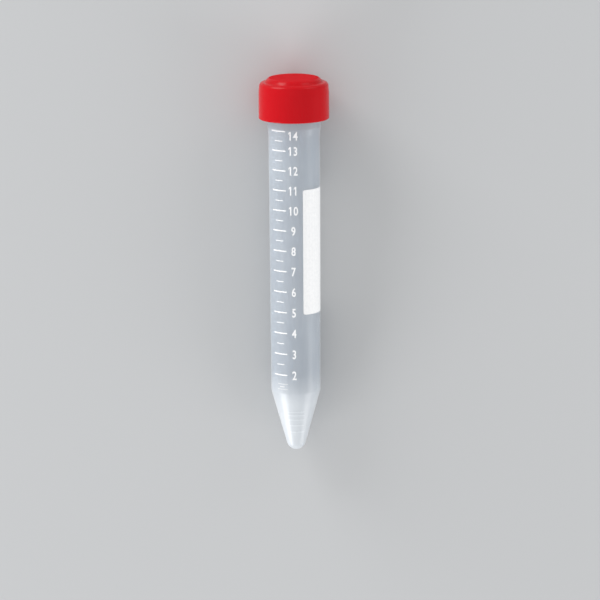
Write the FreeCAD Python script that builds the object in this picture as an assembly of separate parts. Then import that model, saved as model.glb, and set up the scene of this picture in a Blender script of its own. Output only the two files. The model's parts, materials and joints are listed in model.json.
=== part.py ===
import FreeCAD, Part
import math
import os

# A 15 ml conical centrifuge tube with its screw cap on, lying on its side.
#
# Both pieces are injection-moulded polypropylene and are bodies of revolution. Each one
# is revolved from its section, which is drawn as (radius, height) corners with the height
# measured along the axis from the outside of the tube's tip. The pair is then laid on the
# floor: it rests on the cap's lower edge and on the corner where the cone meets the body,
# so the axis rises a little towards the cap. +Y runs towards the cap and +Z is up.
# All lengths are in millimetres.

# Tube
TUBE_LENGTH = 117.05     # tip to rim
CONE_HEIGHT = 19.6       # tip to the corner under the straight body
TIP_R = 3.05             # ball end of the cone
SHOULDER_ROUND = 3.0     # soft corner between cone and body
BODY_R = 8.21            # the body's drafted outside, carried up to the rim
BODY_DRAFT_DEG = 0.235   # each side
WALL = 1.0               # body and cone
INNER_CORNER_ROUND = 1.2

# Neck, under and just below the cap
NECK_WALL = 1.0          # behind the thread
COLLAR_STEP = 0.2        # collar proud of the neck
COLLAR_SHOWS = 2.5       # collar below the cap
COLLAR_GAP = 0.2         # axial gap between the collar and the cap
COLLAR_FLARE = 2.2       # height of the flare from the body out to the collar
FLARE_ROUND = 8.0        # where the flare leaves the body
COLLAR_ROUND = 1.5       # where it meets the collar
RIM_ROUND = 0.3

# Cap
THREAD_HEIGHT = 1.0      # room left for the thread, which is too fine to model here
THREAD_CLEARANCE = 0.32
CAP_WALL = 1.6
CAP_TOP_WALL = 1.5
SKIRT_LENGTH = 10.15     # below the face that the tube's rim seals against
SKIRT_ROUND = 0.35       # outer lower edge
TAPER_HEIGHT = 3.35      # the skirt draws in a little towards the top
TAPER = 0.29
TAPER_ROUND = 4.0
CAP_SHOULDER_ROUND = 1.3
PLATEAU_HEIGHT = 1.45    # raised middle of the top
LEDGE_WIDTH = 1.9        # from the skirt's outside in to the foot of the plateau
PLATEAU_SLOPE = 1.2      # how far the plateau's side leans in
PLATEAU_ROUND = 1.8
PLATEAU_FOOT_ROUND = 0.25

# Plug seal: a ring inside the cap that enters the tube's mouth
PLUG_LENGTH = 2.7
PLUG_WALL = 1.1
PLUG_CLEARANCE = 0.06
PLUG_NOSE = 0.5          # lead-in at its free end

# Where each piece's seam lies, in degrees round from the floor line. It is half a facet of
# the piece's mesh, so that a faceted copy of it lies on the middle of a facet.
TUBE_SEAM = 3.16
CAP_SEAM = 1.72

# Heights that both pieces share
rim_height = TUBE_LENGTH
skirt_bottom = rim_height - SKIRT_LENGTH
body_draft = math.tan(math.radians(BODY_DRAFT_DEG))


def body_r(height):
    """Outer radius of the drafted body."""
    return BODY_R - body_draft * (rim_height - height)


def bore_r(height):
    """Inner radius of the drafted body."""
    return body_r(height) - WALL


mouth_r = bore_r(rim_height)
neck_r = mouth_r + NECK_WALL
collar_r = neck_r + COLLAR_STEP
cap_bore_r = neck_r + THREAD_HEIGHT + THREAD_CLEARANCE
cap_r = cap_bore_r + CAP_WALL
ledge_height = rim_height + CAP_TOP_WALL
cap_top = ledge_height + PLATEAU_HEIGHT


def unit(dx, dy):
    size = math.hypot(dx, dy)
    return dx / size, dy / size


def corner_arc(before, corner, after, radius):
    """Start, middle and end of the arc that rounds a corner between two straight runs."""
    ax, ay = unit(before[0] - corner[0], before[1] - corner[1])
    bx, by = unit(after[0] - corner[0], after[1] - corner[1])
    half = math.acos(ax * bx + ay * by) / 2
    reach = radius / math.tan(half)
    mx, my = unit(ax + bx, ay + by)
    middle = radius / math.sin(half) - radius
    return (
        (corner[0] + reach * ax, corner[1] + reach * ay),
        (corner[0] + middle * mx, corner[1] + middle * my),
        (corner[0] + reach * bx, corner[1] + reach * by),
    )


def revolved(corners):
    """Solid of revolution about Z from a closed section of (radius, height, rounding)."""
    def place(point):
        return FreeCAD.Vector(point[0], 0, point[1])

    arcs = []
    for i, corner in enumerate(corners):
        if corner[2]:
            arcs.append(corner_arc(corners[i - 1], corner, corners[(i + 1) % len(corners)], corner[2]))
        else:
            arcs.append((corner[:2],) * 3)
    edges = []
    for arc, following in zip(arcs, arcs[1:] + arcs[:1]):
        start, middle, end = (place(point) for point in arc)
        if start.distanceToPoint(end) > 1e-6:
            edges.append(Part.Arc(start, middle, end).toShape())
        run_end = place(following[0])
        if end.distanceToPoint(run_end) > 1e-6:
            edges.append(Part.LineSegment(end, run_end).toShape())
    face = Part.Face(Part.Wire(edges))
    return face.revolve(FreeCAD.Vector(0, 0, 0), FreeCAD.Vector(0, 0, 1), 360)


# The cone's half angle follows from the ball end and the shoulder that it joins.
shoulder_r = body_r(CONE_HEIGHT)
ball_to_shoulder = math.hypot(shoulder_r, CONE_HEIGHT - TIP_R)
cone_angle = math.atan2(shoulder_r, CONE_HEIGHT - TIP_R) - math.asin(TIP_R / ball_to_shoulder)
cone_r_at_tip = shoulder_r - CONE_HEIGHT * math.tan(cone_angle)


def make_tube():
    inner_cone_r_at_tip = cone_r_at_tip - WALL / math.cos(cone_angle)
    inner_shoulder = (bore_r(0) - inner_cone_r_at_tip) / (math.tan(cone_angle) - body_draft)
    floor_r = inner_cone_r_at_tip + WALL * math.tan(cone_angle)
    collar_top = skirt_bottom - COLLAR_GAP
    collar_bottom = skirt_bottom - COLLAR_SHOWS
    flare_bottom = collar_bottom - COLLAR_FLARE
    return revolved([
        (0, 0, 0),
        (cone_r_at_tip, 0, TIP_R),
        (shoulder_r, CONE_HEIGHT, SHOULDER_ROUND),
        (body_r(flare_bottom), flare_bottom, FLARE_ROUND),
        (collar_r, collar_bottom, COLLAR_ROUND),
        (collar_r, collar_top, 0),
        (neck_r, collar_top + COLLAR_STEP, 0),
        (neck_r, rim_height, RIM_ROUND),
        (mouth_r, rim_height, RIM_ROUND),
        (bore_r(inner_shoulder), inner_shoulder, INNER_CORNER_ROUND),
        (floor_r, WALL, TIP_R - WALL),
        (0, WALL, 0),
    ])


def make_cap():
    foot_r = cap_r - LEDGE_WIDTH
    plug_bottom = rim_height - PLUG_LENGTH
    plug_r = bore_r(plug_bottom) - PLUG_CLEARANCE
    plug_inner_r = plug_r - PLUG_WALL
    return revolved([
        (0, cap_top, 0),
        (foot_r - PLATEAU_SLOPE, cap_top, PLATEAU_ROUND),
        (foot_r, ledge_height, PLATEAU_FOOT_ROUND),
        (cap_r - TAPER, ledge_height, CAP_SHOULDER_ROUND),
        (cap_r, ledge_height - TAPER_HEIGHT, TAPER_ROUND),
        (cap_r, skirt_bottom, SKIRT_ROUND),
        (cap_bore_r, skirt_bottom, 0),
        (cap_bore_r, rim_height, 0),
        (plug_r, rim_height, 0),
        (plug_r, plug_bottom + PLUG_NOSE, 0),
        (plug_r - PLUG_NOSE / 2, plug_bottom, 0),
        (plug_inner_r, plug_bottom, 0),
        (plug_inner_r, cap_top - CAP_TOP_WALL, 0),
        (0, cap_top - CAP_TOP_WALL, 0),
    ])


def lay_down(shapes):
    """Lay the upright pieces on the floor at z = 0, centred in x and y."""
    # The floor touches two rounded edges: the skirt's, and the shoulder's.
    skirt_centre = (cap_r - SKIRT_ROUND, skirt_bottom + SKIRT_ROUND)
    before = (cone_r_at_tip, 0)
    corner = (shoulder_r, CONE_HEIGHT)
    after = (BODY_R, rim_height)
    start, middle, _ = corner_arc(before, corner, after, SHOULDER_ROUND)
    inward = unit(middle[0] - corner[0], middle[1] - corner[1])
    shoulder_centre = (
        middle[0] + SHOULDER_ROUND * inward[0],
        middle[1] + SHOULDER_ROUND * inward[1],
    )
    rise = skirt_centre[0] - shoulder_centre[0]
    run = skirt_centre[1] - shoulder_centre[1]
    tilt = math.atan2(rise, run) - math.asin((SHOULDER_ROUND - SKIRT_ROUND) / math.hypot(rise, run))
    height = (
        skirt_centre[0] * math.cos(tilt) - skirt_centre[1] * math.sin(tilt) + SKIRT_ROUND
    )
    origin = FreeCAD.Vector(0, 0, 0)
    for shape in shapes:
        shape.rotate(origin, FreeCAD.Vector(1, 0, 0), math.degrees(tilt) - 90)
        shape.translate(FreeCAD.Vector(0, 0, height))
    box = Part.Compound(shapes).optimalBoundingBox(False, False)
    for shape in shapes:
        shape.translate(FreeCAD.Vector(0, -(box.YMin + box.YMax) / 2, 0))
    return tilt


def turned(shape, seam):
    """Turn an upright piece about its axis, so that its seam lies near the floor line."""
    shape.rotate(FreeCAD.Vector(0, 0, 0), FreeCAD.Vector(0, 0, 1), 90 - seam)
    return shape


parts = {"tube": turned(make_tube(), TUBE_SEAM), "cap": turned(make_cap(), CAP_SEAM)}
tilt = lay_down(list(parts.values()))

os.makedirs("parts", exist_ok=True)
for name, shape in parts.items():
    shape.exportStep(f"parts/{name}.step")
    box = shape.optimalBoundingBox(False, False)
    print(name, "valid", shape.isValid(), "volume", round(shape.Volume, 2),
          "x", round(box.XMin, 3), round(box.XMax, 3),
          "y", round(box.YMin, 3), round(box.YMax, 3),
          "z", round(box.ZMin, 3), round(box.ZMax, 3))
print("axis tilt", round(math.degrees(tilt), 3), "degrees")
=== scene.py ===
"""A 15 ml conical tube with its red screw cap, lying on a pale floor, seen from above.

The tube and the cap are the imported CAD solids. This script gives them their plastics and
adds what the CAD leaves out: the printed scale, its numbers, the writing patch, the moulded
marks on the cone and the screw threads. A place on the object is given as a height along the
tube's own axis from its tip, a radius, and an azimuth about that axis. Azimuth 0 faces
straight up and azimuth grows to the right. Lengths are in millimetres and azimuths in
degrees, until place() turns them into a point in metres.
"""
import json
import math

import bmesh
import bpy
from mathutils import Matrix, Vector
from mathutils.bvhtree import BVHTree


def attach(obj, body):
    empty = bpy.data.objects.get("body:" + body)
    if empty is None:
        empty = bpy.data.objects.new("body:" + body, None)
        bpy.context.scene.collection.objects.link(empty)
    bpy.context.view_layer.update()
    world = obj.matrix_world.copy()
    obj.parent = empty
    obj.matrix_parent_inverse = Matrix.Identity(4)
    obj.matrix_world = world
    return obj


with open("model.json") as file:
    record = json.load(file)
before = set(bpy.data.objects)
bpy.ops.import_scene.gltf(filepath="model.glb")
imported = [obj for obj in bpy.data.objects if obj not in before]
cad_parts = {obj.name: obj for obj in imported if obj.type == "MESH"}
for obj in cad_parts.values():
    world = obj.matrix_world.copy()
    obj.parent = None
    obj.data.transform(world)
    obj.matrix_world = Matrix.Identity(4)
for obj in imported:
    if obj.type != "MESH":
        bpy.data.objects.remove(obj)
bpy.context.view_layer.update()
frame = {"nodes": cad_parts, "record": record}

MM = 0.001
tube = frame["nodes"]["tube"]
cap = frame["nodes"]["cap"]

# ---------------------------------------------------------------- the tube's own axis

cap_top = next(mount for mount in frame["record"]["mounts"] if mount["name"] == "cap_top")
AXIS = Vector(cap_top["axis"]).normalized()
SIDE = Vector((1, 0, 0))
UP = SIDE.cross(AXIS)
top_centre = Vector(cap_top["pos_m"])
tip_along = min(AXIS.dot(vertex.co) for vertex in tube.data.vertices)
LENGTH = (AXIS.dot(top_centre) - tip_along) / MM
TIP = top_centre - AXIS * LENGTH * MM


def outward(azimuth):
    """Unit vector away from the axis."""
    return UP * math.cos(math.radians(azimuth)) + SIDE * math.sin(math.radians(azimuth))


def place(height, radius, azimuth):
    """A point on the object, in metres."""
    return TIP + (AXIS * height + outward(azimuth) * radius) * MM


def surface_tree(node):
    """A CAD node's surface, ready for rays."""
    corners = [vertex.co for vertex in node.data.vertices]
    return BVHTree.FromPolygons(corners, [face.vertices for face in node.data.polygons])


tube_tree = surface_tree(tube)
cap_tree = surface_tree(cap)
FAR_OUT = 30                        # a radius outside everything


def skin_r(tree, height, azimuth):
    """Radius of a CAD node's outside, found by looking in from outside."""
    hit = tree.ray_cast(place(height, FAR_OUT, azimuth), -outward(azimuth))
    return FAR_OUT - hit[3] / MM


def bore_r(tree, height, azimuth=0):
    """Radius of a CAD node's inside, found by looking out from the axis."""
    return tree.ray_cast(place(height, 0, azimuth), outward(azimuth))[3] / MM


# ---------------------------------------------------------------- camera

VIEW_RISE = math.radians(11.6)      # the camera stands this far round towards the cap
VIEW_LEAN = math.radians(0.4)       # the tube leans this far to the left in the picture
DISTANCE = 1500
FRAME_WIDTH = 190.05                # width of the picture where the tube lies
TUBE_RIGHT = -1.57                  # from the picture's middle to the tube's middle
TUBE_ABOVE = 11.28
SENSOR = 36
FAR_CLIP = 20                       # metres

back = UP * math.cos(VIEW_RISE) + AXIS * math.sin(VIEW_RISE)
straight_up = AXIS * math.cos(VIEW_RISE) - UP * math.sin(VIEW_RISE)
picture_up = straight_up * math.cos(VIEW_LEAN) + SIDE * math.sin(VIEW_LEAN)
picture_right = SIDE * math.cos(VIEW_LEAN) - straight_up * math.sin(VIEW_LEAN)
offset = back * DISTANCE - picture_right * TUBE_RIGHT - picture_up * TUBE_ABOVE
camera_data = bpy.data.cameras.new("camera")
camera_data.sensor_width = SENSOR
camera_data.lens = SENSOR * DISTANCE / FRAME_WIDTH
camera_data.clip_end = FAR_CLIP
camera = bpy.data.objects.new("camera", camera_data)
bpy.context.scene.collection.objects.link(camera)
turned = Matrix((picture_right, picture_up, back)).transposed().to_4x4()
camera.matrix_world = Matrix.Translation(place(LENGTH / 2, 0, 0) + offset * MM) @ turned
bpy.context.scene.camera = camera
bpy.context.scene.view_settings.view_transform = "Standard"

# ---------------------------------------------------------------- materials

POLYPROPYLENE_IOR = 1.49

# The natural plastic: the body is clearer, and the cone milkier.
BODY_COLOUR = (0.61, 0.67, 0.74)
CONE_COLOUR = (0.71, 0.75, 0.79)
RAISED_HIGHLIGHT_COLOUR = (0.80, 0.84, 0.88)  # the cone's moulded marks: milkier where the wall is thicker, and painted lighter as a painted highlight
CONE_CLEARS = (16, 26)              # heights between which the cone's look gives way
LETS_THROUGH = (0.12, 0.42)         # share of the light that passes, in the cone and the body
STREAK_COLOUR = (0.74, 0.78, 0.82)
STREAK_SHARE = 0.26                 # of the colour, where a streak is strongest
HAZE_COLOUR = (0.38, 0.43, 0.50)
HAZE_SHARE = 0.22
NATURAL_ROUGHNESS = (0.28, 0.36)
EDGE_GLOW = 1.0                     # sheen: light scattered in the wall brightens the edges
EDGE_GLOW_ROUGHNESS = 0.24

# The cap: its sides are polished and its flat top is matt.
CAP_RED = (0.52, 0.004, 0.009)
CAP_DARK_RED = (0.46, 0.003, 0.007)
CAP_DARK_SHARE = 0.3
CAP_SHINE = 0.13                    # specular level
CAP_ROUGHNESS = (0.14, 0.24)
FLAT_TOP_ROUGHNESS = 0.9
FLAT_TOP_EDGE = (0.25, 0.02)        # depths below the top between which the matt flat begins

INK_WHITE = (0.93, 0.935, 0.94)
INK_THIN = (0.87, 0.88, 0.89)
INK_ROUGHNESS = (0.45, 0.6)

# Where Blender's Mix node has its two colours and its mixed colour.
MIX_FIRST = 6
MIX_SECOND = 7
MIX_RESULT = 2


class Nodes:
    """A new material's node tree, with the few kinds of node that this scene needs."""

    def __init__(self, name):
        self.material = bpy.data.materials.new(name)
        self.material.use_nodes = True
        self.tree = self.material.node_tree
        self.shader = self.tree.nodes["Principled BSDF"]
        self.coordinates = self.add("ShaderNodeTexCoord").outputs["Object"]

    def add(self, kind, **values):
        """A new node, with its properties set by name."""
        node = self.tree.nodes.new(kind)
        for name, value in values.items():
            setattr(node, name, value)
        return node

    def join(self, source, target):
        self.tree.links.new(source, target)

    def shader_values(self, **values):
        """Set constants on the shader, with each socket's name written with underscores."""
        for name, value in values.items():
            self.shader.inputs[name.replace("_", " ")].default_value = value

    def height(self):
        """Height along the tube's axis from its tip, in millimetres."""
        from_tip = self.add("ShaderNodeVectorMath", operation="SUBTRACT")
        from_tip.inputs[1].default_value = TIP
        self.join(self.coordinates, from_tip.inputs[0])
        along = self.add("ShaderNodeVectorMath", operation="DOT_PRODUCT")
        along.inputs[1].default_value = AXIS / MM
        self.join(from_tip.outputs["Vector"], along.inputs[0])
        return along.outputs["Value"]

    def noise(self, size, detail=2.0, stretch=1.0):
        """Noise with features of a size in millimetres, longer by stretch along the tube.

        Most of it lies between 0.3 and 0.7.
        """
        spread = self.add("ShaderNodeMapping")
        spread.inputs["Scale"].default_value = (1, 1 / stretch, 1)
        self.join(self.coordinates, spread.inputs["Vector"])
        noise = self.add("ShaderNodeTexNoise")
        noise.inputs["Scale"].default_value = 1 / (size * MM)
        noise.inputs["Detail"].default_value = detail
        self.join(spread.outputs["Vector"], noise.inputs["Vector"])
        return noise.outputs["Fac"]

    def ramp(self, value, low, high, to_low, to_high):
        """Map value from low..high to to_low..to_high, held at both ends."""
        ramp = self.add("ShaderNodeMapRange")
        limits = {"From Min": low, "From Max": high, "To Min": to_low, "To Max": to_high}
        for name, number in limits.items():
            ramp.inputs[name].default_value = number
        self.join(value, ramp.inputs["Value"])
        return ramp.outputs["Result"]

    def mix(self, factor, first, second):
        """Mix two colours, of which the first may be a socket."""
        mix = self.add("ShaderNodeMix", data_type="RGBA")
        self.join(factor, mix.inputs["Factor"])
        if isinstance(first, bpy.types.NodeSocket):
            self.join(first, mix.inputs[MIX_FIRST])
        else:
            mix.inputs[MIX_FIRST].default_value = (*first, 1)
        mix.inputs[MIX_SECOND].default_value = (*second, 1)
        return mix.outputs[MIX_RESULT]

    def bumps(self, *layers):
        """Bump from (height socket, depth in millimetres) layers, one over another."""
        normal = None
        for height, depth in layers:
            bump = self.add("ShaderNodeBump")
            bump.inputs["Strength"].default_value = 1
            bump.inputs["Distance"].default_value = depth * MM
            self.join(height, bump.inputs["Height"])
            if normal:
                self.join(normal, bump.inputs["Normal"])
            normal = bump.outputs["Normal"]
        self.join(normal, self.shader.inputs["Normal"])


def natural_plastic(name, cone_colour):
    """Uncoloured polypropylene: milky, with faint flow streaks along the tube."""
    nodes = Nodes(name)
    nodes.shader_values(IOR=POLYPROPYLENE_IOR)
    nodes.shader_values(Sheen_Weight=EDGE_GLOW, Sheen_Roughness=EDGE_GLOW_ROUGHNESS)
    along = nodes.ramp(nodes.height(), *CONE_CLEARS, 0, 1)
    colour = nodes.mix(along, cone_colour, BODY_COLOUR)
    nodes.join(nodes.ramp(along, 0, 1, *LETS_THROUGH), nodes.shader.inputs["Transmission Weight"])
    streaks = nodes.noise(1.1, detail=2, stretch=14)
    haze = nodes.noise(9, detail=3, stretch=2)
    colour = nodes.mix(nodes.ramp(streaks, 0.35, 0.7, 0, STREAK_SHARE), colour, STREAK_COLOUR)
    colour = nodes.mix(nodes.ramp(haze, 0.4, 0.7, 0, HAZE_SHARE), colour, HAZE_COLOUR)
    nodes.join(colour, nodes.shader.inputs["Base Color"])
    grain = nodes.noise(0.5)
    nodes.join(nodes.ramp(grain, 0.2, 0.8, *NATURAL_ROUGHNESS), nodes.shader.inputs["Roughness"])
    nodes.bumps((nodes.noise(2.5, stretch=5), 0.02), (grain, 0.001))
    return nodes.material


def cap_plastic():
    """Red polypropylene with a fine moulded grain."""
    nodes = Nodes("cap_plastic")
    nodes.shader_values(IOR=POLYPROPYLENE_IOR, Specular_IOR_Level=CAP_SHINE)
    drift = nodes.noise(5, detail=3)
    colour = nodes.mix(nodes.ramp(drift, 0.35, 0.7, 0, CAP_DARK_SHARE), CAP_RED, CAP_DARK_RED)
    nodes.join(colour, nodes.shader.inputs["Base Color"])
    grain = nodes.noise(0.3, detail=3)
    polished = nodes.ramp(grain, 0.3, 0.7, *CAP_ROUGHNESS)
    low, high = (LENGTH - depth for depth in FLAT_TOP_EDGE)
    flat_top = nodes.ramp(nodes.height(), low, high, 0, 1)
    roughness = nodes.mix(flat_top, polished, (FLAT_TOP_ROUGHNESS,) * 3)
    nodes.join(roughness, nodes.shader.inputs["Roughness"])
    nodes.bumps((drift, 0.03), (grain, 0.003))
    return nodes.material


def white_ink():
    """Screen-printed ink, a little uneven where the mesh left it."""
    nodes = Nodes("white_ink")
    patchy = nodes.noise(0.8, detail=4)
    colour = nodes.mix(nodes.ramp(patchy, 0.35, 0.75, 0, 1), INK_WHITE, INK_THIN)
    nodes.join(colour, nodes.shader.inputs["Base Color"])
    nodes.join(nodes.ramp(patchy, 0.3, 0.7, *INK_ROUGHNESS), nodes.shader.inputs["Roughness"])
    nodes.bumps((nodes.noise(0.25, detail=3), 0.004))
    return nodes.material


NATURAL = natural_plastic("natural_plastic", CONE_COLOUR)
# The raised marks' plastic is painted lighter than the cone's. This is a painted highlight that
# shows them as light lines.
RAISED_HIGHLIGHT = natural_plastic("raised_plastic_painted_highlight", RAISED_HIGHLIGHT_COLOUR)
RED = cap_plastic()
INK = white_ink()

for node, material in ((tube, NATURAL), (cap, RED)):
    node.data.materials.clear()
    node.data.materials.append(material)

SAME_POINT = 1e-7                   # metres: vertices nearer than this are merged


def add_piece(name, shape, material, body):
    """Turn a bmesh into a piece that rides on a body."""
    bmesh.ops.remove_doubles(shape, verts=shape.verts, dist=SAME_POINT)
    bmesh.ops.recalc_face_normals(shape, faces=shape.faces)
    mesh = bpy.data.meshes.new(name)
    shape.to_mesh(mesh)
    shape.free()
    mesh.materials.append(material)
    piece = bpy.data.objects.new(name, mesh)
    bpy.context.scene.collection.objects.link(piece)
    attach(piece, body)
    return piece


# ---------------------------------------------------------------- print on the body

INK_PROUD = 0.03                    # the ink's outside, above the plastic
INK_SUNK = 0.04                     # its underside, below the surface so that no gap shows
CORNER_STEPS = 4                    # points round a plate's corner
PLATE_STEP = 2.5                    # degrees between points along a plate


def loft(shape, rings):
    """Skin a row of closed rings of points and cap both ends."""
    rows = [[shape.verts.new(point) for point in ring] for ring in rings]
    around = len(rows[0])
    for row, following in zip(rows, rows[1:]):
        for i in range(around):
            j = (i + 1) % around
            shape.faces.new((row[i], row[j], following[j], following[i]))
    shape.faces.new(rows[0])
    shape.faces.new(reversed(rows[-1]))


def plate(shape, left, right, low, high, corner, proud=INK_PROUD, sunk=INK_SUNK, rows=1):
    """A thin plate on the tube's skin, between two azimuths and two heights, with round corners."""
    girth = math.radians(1) * skin_r(tube_tree, (low + high) / 2, left)     # mm per degree
    turn = corner / girth
    rounding = []
    for i in range(1, CORNER_STEPS + 1):
        rounding.append(turn * (1 - math.cos(math.pi / 2 * i / CORNER_STEPS)))
    straight = right - left - 2 * turn
    count = math.ceil(straight / PLATE_STEP)
    angles = [left + turned_by for turned_by in rounding]
    for i in range(count + 1):
        angles.append(left + turn + straight * i / count)
    for turned_by in reversed(rounding):
        angles.append(right - turned_by)
    rings = []
    for azimuth in angles:
        inside = max(0, turn - min(azimuth - left, right - azimuth)) * girth
        short = corner - math.sqrt(max(0, corner ** 2 - inside ** 2))
        bottom = low + short
        top = high - short
        heights = [bottom + (top - bottom) * i / rows for i in range(rows + 1)]
        skins = [skin_r(tube_tree, height, azimuth) for height in heights]
        outer = [place(h, r + proud, azimuth) for h, r in zip(heights, skins)]
        inner = [place(h, r - sunk, azimuth) for h, r in zip(heights, skins)]
        rings.append(outer + inner[::-1])
    loft(shape, rings)


FIRST_ML = 2
LAST_ML = 14
FIRST_HEIGHT = 25.6                 # of the 2 ml mark
MILLILITRE = 1000                   # cubic millimetres
ML_RISES = 6                        # about how high one millilitre is
LONG_TICK = (-57.5, -19.4)          # azimuths
STROKE = 0.36
SHORT_TICK = (-48, -27)
SHORT_STROKE = 0.24
LEAST_TICK = (-40, -27)             # the marks under 2 ml, where the cone begins
LEAST_HEIGHT = 21.8
FAINT_TICK = (-46, -19)
FAINT_STROKE = 0.13
FAINT_HEIGHTS = (22.65, 21.0)
STROKES_PER_CORNER = 2.2            # a stroke's width over the radius of its corners


def scale_heights():
    """Height of each whole millilitre: each one fills the same volume of the bore."""
    heights = {FIRST_ML: FIRST_HEIGHT}
    for ml in range(FIRST_ML, LAST_ML):
        area = math.pi * bore_r(tube_tree, heights[ml] + ML_RISES / 2) ** 2
        heights[ml + 1] = heights[ml] + MILLILITRE / area
    return heights


def tick(shape, azimuths, height, stroke):
    """One printed line of the scale."""
    corner = stroke / STROKES_PER_CORNER
    plate(shape, *azimuths, height - stroke / 2, height + stroke / 2, corner)


marks = scale_heights()
ticks = bmesh.new()
for ml, height in marks.items():
    tick(ticks, LONG_TICK, height, STROKE)
    if ml < LAST_ML:
        tick(ticks, SHORT_TICK, (height + marks[ml + 1]) / 2, SHORT_STROKE)
tick(ticks, LEAST_TICK, LEAST_HEIGHT, SHORT_STROKE)
for height in FAINT_HEIGHTS:
    tick(ticks, FAINT_TICK, height, FAINT_STROKE)
add_piece("scale_ticks", ticks, INK, "tube")

DIGIT_HEIGHT = 2.65
DIGIT_NARROWS = 0.75                # drawn narrower than Blender's own font
DIGIT_BOLDER = 0.08                 # added round its outline
DIGIT_PITCH = 1.6                   # from one digit's middle to the next
DIGIT_DEPTH = 0.5                   # each way, while it is still flat
DIGIT_SMOOTHNESS = 4                # points between those of the font's curves
NUMBER_AZIMUTH = -3
LAST_NUMBER_DROP = 1.4              # the 14 stands lower than its mark, clear of the cap
FONT_DIGIT = 0.69                   # height of a digit in a font of size 1
CUT = 0.35                          # width of the strips that let a flat digit bend
# The flag of the 1, which Blender's own font lacks: its reach from the stem's left edge,
# its drop over that reach, and its thickness.
FLAG_REACH = 0.55
FLAG_DROP = 0.5
FLAG_THICKNESS = 0.5


def flat_digit(character):
    """A digit as a flat solid in millimetres, with its stem or middle at x = 0."""
    curve = bpy.data.curves.new(character, "FONT")
    curve.body = character
    curve.size = DIGIT_HEIGHT / FONT_DIGIT
    curve.offset = DIGIT_BOLDER
    curve.extrude = DIGIT_DEPTH
    curve.resolution_u = DIGIT_SMOOTHNESS
    text = bpy.data.objects.new(character, curve)
    mesh = bpy.data.meshes.new_from_object(text)
    digit = bmesh.new()
    digit.from_mesh(mesh)
    bpy.data.objects.remove(text)
    bpy.data.curves.remove(curve)
    bpy.data.meshes.remove(mesh)
    bmesh.ops.remove_doubles(digit, verts=digit.verts, dist=SAME_POINT / MM)
    across = [vertex.co.x for vertex in digit.verts]
    middle = (min(across) + max(across)) / 2
    bmesh.ops.translate(digit, verts=digit.verts, vec=(-middle, 0, 0))
    if character == "1":
        stem = (max(across) - min(across)) / 2
        top = max(vertex.co.y for vertex in digit.verts)
        flag = ((-stem, top), (-stem - FLAG_REACH, top - FLAG_DROP))
        outline = [*flag, *((x, y - FLAG_THICKNESS) for x, y in flag[::-1])]
        loft(digit, [[(x, y, z) for x, y in outline] for z in (-DIGIT_DEPTH, DIGIT_DEPTH)])
    return digit


def bend(shape, digit, middle, low):
    """Wrap a flat digit round the tube's skin and add it to a shape."""
    reach = max(abs(vertex.co.x) for vertex in digit.verts)
    for i in range(-int(reach / CUT), int(reach / CUT) + 1):
        everything = digit.verts[:] + digit.edges[:] + digit.faces[:]
        bmesh.ops.bisect_plane(digit, geom=everything, plane_co=(i * CUT, 0, 0), plane_no=(1, 0, 0))
    degrees_per_mm = 1 / (math.radians(1) * skin_r(tube_tree, low, NUMBER_AZIMUTH))
    for vertex in digit.verts:
        azimuth = NUMBER_AZIMUTH + (middle + vertex.co.x * DIGIT_NARROWS) * degrees_per_mm
        height = low + vertex.co.y
        depth = INK_PROUD if vertex.co.z > 0 else -INK_SUNK
        vertex.co = place(height, skin_r(tube_tree, height, azimuth) + depth, azimuth)
    bent = bpy.data.meshes.new("digit")
    digit.to_mesh(bent)
    digit.free()
    shape.from_mesh(bent)
    bpy.data.meshes.remove(bent)


numbers = bmesh.new()
for ml, height in marks.items():
    text = str(ml)
    low = height - DIGIT_HEIGHT / 2
    if ml == LAST_ML:
        low -= LAST_NUMBER_DROP
    for i, character in enumerate(text):
        middle = (i - (len(text) - 1) / 2) * DIGIT_PITCH
        bend(numbers, flat_digit(character), middle, low)
add_piece("scale_numbers", numbers, INK, "tube")

PATCH_LEFT = 18.6                   # azimuth
PATCH_RIGHT = 150                   # round the side that doesn't show
PATCH_LOW = 45.2
PATCH_HIGH = 85.2
PATCH_CORNER = 0.8
PATCH_ROWS = 8                      # of faces along its height
patch = bmesh.new()
plate(patch, PATCH_LEFT, PATCH_RIGHT, PATCH_LOW, PATCH_HIGH, PATCH_CORNER, rows=PATCH_ROWS)
add_piece("writing_patch", patch, INK, "tube")

# ---------------------------------------------------------------- marks moulded on the cone

CONE_MARKS = (6.4, 8.65, 10.6, 12.1, 13.3)      # heights of 0.1 to 0.5 ml
CONE_MARK_AZIMUTH = 0
CONE_MARK_LENGTH = 5.4
CONE_MARK_WIDTH = 0.45
CONE_MARK_PROUD = 0.06
CONE_MARK_SUNK = 0.1
cone_marks = bmesh.new()
for height in CONE_MARKS:
    half = math.degrees(CONE_MARK_LENGTH / 2 / skin_r(tube_tree, height, CONE_MARK_AZIMUTH))
    azimuths = (CONE_MARK_AZIMUTH - half, CONE_MARK_AZIMUTH + half)
    heights = (height - CONE_MARK_WIDTH / 2, height + CONE_MARK_WIDTH / 2)
    corner = CONE_MARK_WIDTH / STROKES_PER_CORNER
    plate(cone_marks, *azimuths, *heights, corner, proud=CONE_MARK_PROUD, sunk=CONE_MARK_SUNK)
# painted highlight: the marks' plastic is lighter than the cone's, so they read as light lines
add_piece("cone_marks", cone_marks, RAISED_HIGHLIGHT, "tube")

# ---------------------------------------------------------------- screw threads

PITCH = 3.0
THREAD_LOW = 108.8                  # where the neck's thread begins
TURNS = 2.0
NECK_THREAD_DEPTH = 0.98
CAP_THREAD_DEPTH = 1.0
ROOT_WIDTH = 1.3
CREST_WIDTH = 0.55
THREAD_SUNK = 0.1                   # the ridge's root lies this deep in the wall
RUN_OUT = 30                        # degrees over which each end rises from the wall
LEAST_RISE = 0.02                   # share of its depth at its very end, so that no face is empty
THREAD_STEP = 6                     # degrees from one section to the next


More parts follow.
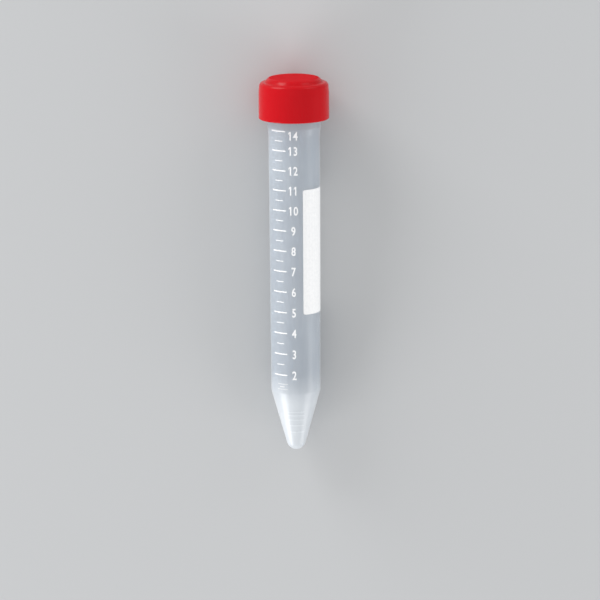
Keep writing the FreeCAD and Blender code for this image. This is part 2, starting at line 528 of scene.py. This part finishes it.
def thread(shape, wall_r, depth, start_height, start_azimuth):
    """A ridge that winds round the axis. A negative depth points inwards."""
    sunk = math.copysign(THREAD_SUNK, depth)
    degrees = int(360 * TURNS)
    rings = []
    for turned_by in range(0, degrees + 1, THREAD_STEP):
        rise = min(1, turned_by / RUN_OUT, (degrees - turned_by) / RUN_OUT)
        rise = max(rise, LEAST_RISE)
        height = start_height + PITCH * turned_by / 360
        azimuth = start_azimuth + turned_by
        crest_r = wall_r + depth * rise
        crest = (ROOT_WIDTH + (CREST_WIDTH - ROOT_WIDTH) * rise) / 2
        profile = (
            (-ROOT_WIDTH / 2, wall_r - sunk),
            (-ROOT_WIDTH / 2, wall_r),
            (-crest, crest_r),
            (crest, crest_r),
            (ROOT_WIDTH / 2, wall_r),
            (ROOT_WIDTH / 2, wall_r - sunk),
        )
        rings.append([place(height + along, radius, azimuth) for along, radius in profile])
    loft(shape, rings)


neck_r = skin_r(tube_tree, THREAD_LOW, 0)
cap_bore = bore_r(cap_tree, THREAD_LOW)
neck_thread = bmesh.new()
thread(neck_thread, neck_r, NECK_THREAD_DEPTH, THREAD_LOW, 0)
add_piece("neck_thread", neck_thread, NATURAL, "tube")
cap_thread = bmesh.new()
thread(cap_thread, cap_bore, -CAP_THREAD_DEPTH, THREAD_LOW, 180)
add_piece("cap_thread", cap_thread, RED, "cap")

# ---------------------------------------------------------------- floor and light

FLOOR_COLOUR = (0.53, 0.54, 0.55)
FLOOR_ROUGHNESS = 0.7
FLOOR_HALF = 3.0                    # metres
floor_mesh = bpy.data.meshes.new("floor")
corners = [(x * FLOOR_HALF, y * FLOOR_HALF, 0) for x, y in ((-1, -1), (1, -1), (1, 1), (-1, 1))]
floor_mesh.from_pydata(corners, [], [(0, 1, 2, 3)])
floor = bpy.data.objects.new("floor", floor_mesh)
bpy.context.scene.collection.objects.link(floor)
floor_nodes = Nodes("floor")
floor_nodes.shader_values(Base_Color=(*FLOOR_COLOUR, 1), Roughness=FLOOR_ROUGHNESS)
floor_mesh.materials.append(floor_nodes.material)

WORLD_STRENGTH = 0.74
world = bpy.data.worlds.new("world")
bpy.context.scene.world = world
world.use_nodes = True
background = world.node_tree.nodes["Background"]
background.inputs["Color"].default_value = (1, 1, 1, 1)
background.inputs["Strength"].default_value = WORLD_STRENGTH

LAMP_DISTANCE = 1.0                 # metres from the middle of the tube


def softbox(name, direction, size, power):
    """A round area lamp, in metres and watts, that faces the middle of the tube."""
    data = bpy.data.lights.new(name, "AREA")
    data.shape = "DISK"
    data.size = size
    data.energy = power
    lamp = bpy.data.objects.new(name, data)
    bpy.context.scene.collection.objects.link(lamp)
    towards = Vector(direction).normalized()
    lamp.location = place(LENGTH / 2, 0, 0) + towards * LAMP_DISTANCE
    lamp.rotation_euler = towards.to_track_quat("Z", "Y").to_euler()


softbox("key", (-0.85, -0.8, 0.2), 0.6, 6.5)
softbox("top_left", (-0.8, 1.0, 0.25), 0.6, 6.5)
softbox("top_right", (0.8, 1.0, 0.25), 0.6, 1.2)
softbox("fill", (0.9, -0.6, 0.2), 0.7, 4.2)
